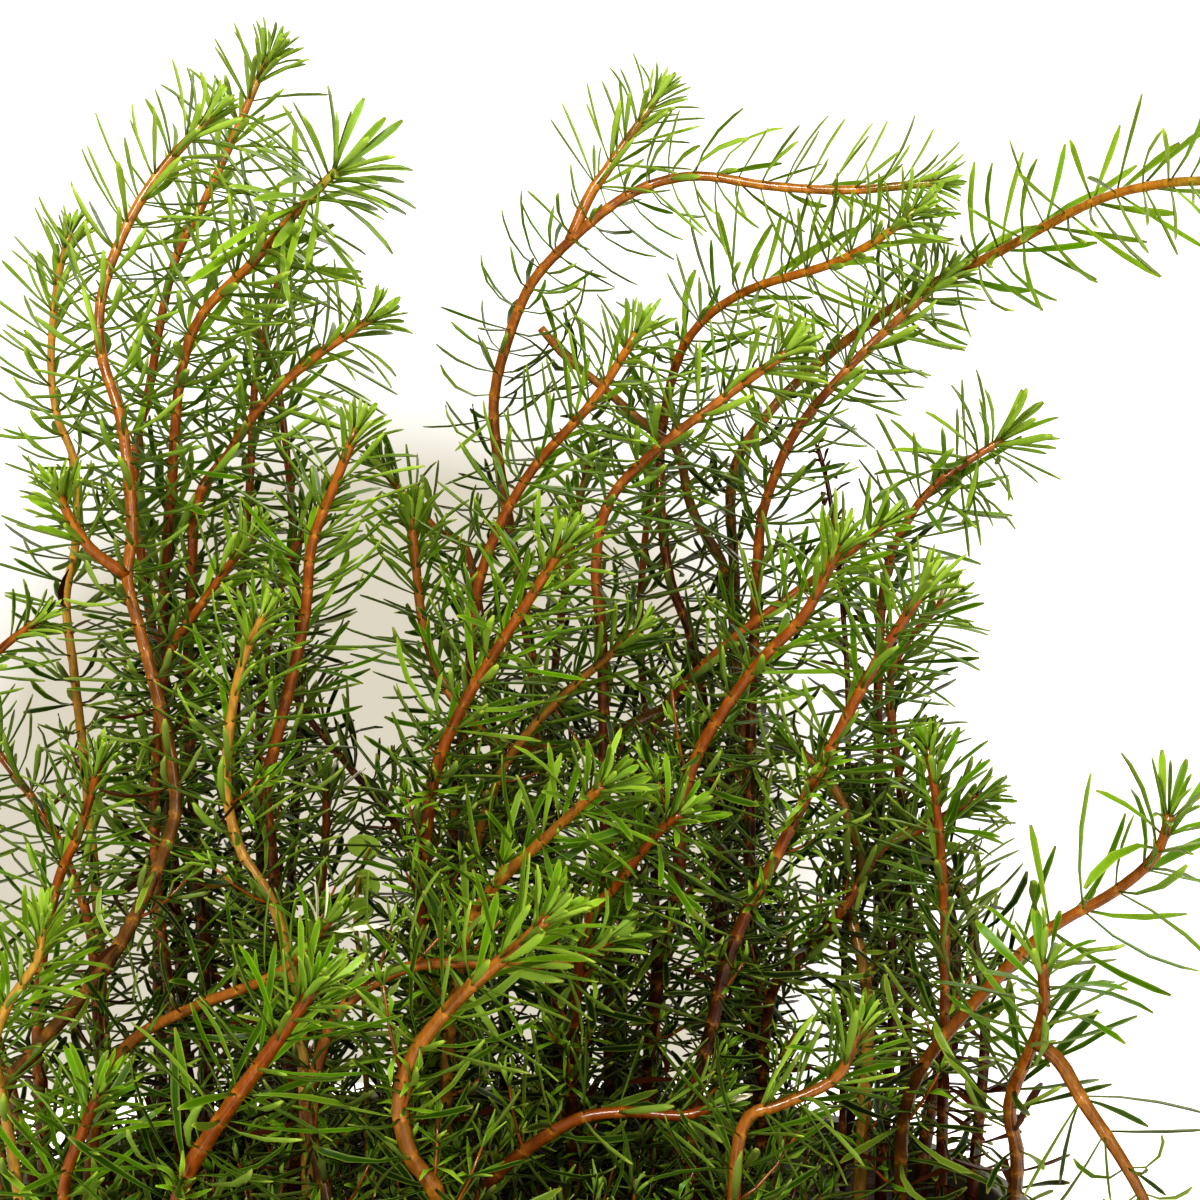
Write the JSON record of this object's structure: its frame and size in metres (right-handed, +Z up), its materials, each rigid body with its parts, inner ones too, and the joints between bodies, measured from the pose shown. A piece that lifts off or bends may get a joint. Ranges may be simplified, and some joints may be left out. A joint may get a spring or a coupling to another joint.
{
  "type": "potted rotala",
  "caption": "Round plastic plant pot of dark soil with a dense clump of needle-leaved rotala: arching red-brown shoots with whorls of narrow green leaves.",
  "frame": {"origin": "The centre of the pot's flat underside, on the ground it stands on.", "axes": "+Z up along the pot's axis. The front view looks along +Y, with +X to its right, so the long runner reaches to +X and the low front shoots to -Y."},
  "size_m": [0.1877, 0.15, 0.2709],
  "materials": {
    "pot": "dark charcoal plastic, satin, with dust and a thin lip",
    "soil": null,
    "stem": "smooth glossy red-brown, orange at the tips and darker at the foot",
    "leaf": "thin satin leaves, bright yellow-green at the tips and darker below"
  },
  "bodies": {
    "root": {"arch_leg": "stem", "back_centre": "stem", "back_leaning_left": "stem", "back_left_small": "stem", "back_right_dark": "stem", "back_upright": "stem", "bare_twig": "stem", "behind_mid_left": "stem", "behind_right": "stem", "big_arch": "stem", "big_arch_side": "stem", "centre_crown": "stem", "centre_front": "stem", "centre_low": "stem", "centre_low_right": "stem", "centre_right": "stem", "centre_small": "stem", "crossing_back": "stem", "dark_back_left": "stem", "far_left": "stem", "far_right": "stem", "front_creeper": "stem", "front_far_left": "stem", "front_left_thick": "stem", "front_low_right": "stem", "front_right": "stem", "front_right_trailer": "stem", "front_s_curve": "stem", "glossy_stem": "stem", "left_arch": "stem", "left_arch_side": "stem", "left_crown": "stem", "left_dark_low": "stem", "left_edge": "stem", "left_inner": "stem", "left_low": "stem", "left_middle": "stem", "long_diagonal": "stem", "long_low_left": "stem", "long_runner": "stem", "low_branch": "stem", "low_left_runner": "stem", "low_right": "stem", "low_upright": "stem", "mid_left": "stem", "ochre_left": "stem", "ochre_middle": "stem", "pale_left": "stem", "pot": "pot", "right_back_branch": "stem", "right_dark_stem": "stem", "right_lean": "stem", "right_middle": "stem", "right_thick": "stem", "seedling": "leaf", "small_star": "stem", "soil": "soil", "star_right": "stem", "tall_left": "stem", "upper_right": "stem"}
  },
  "joints": []
}
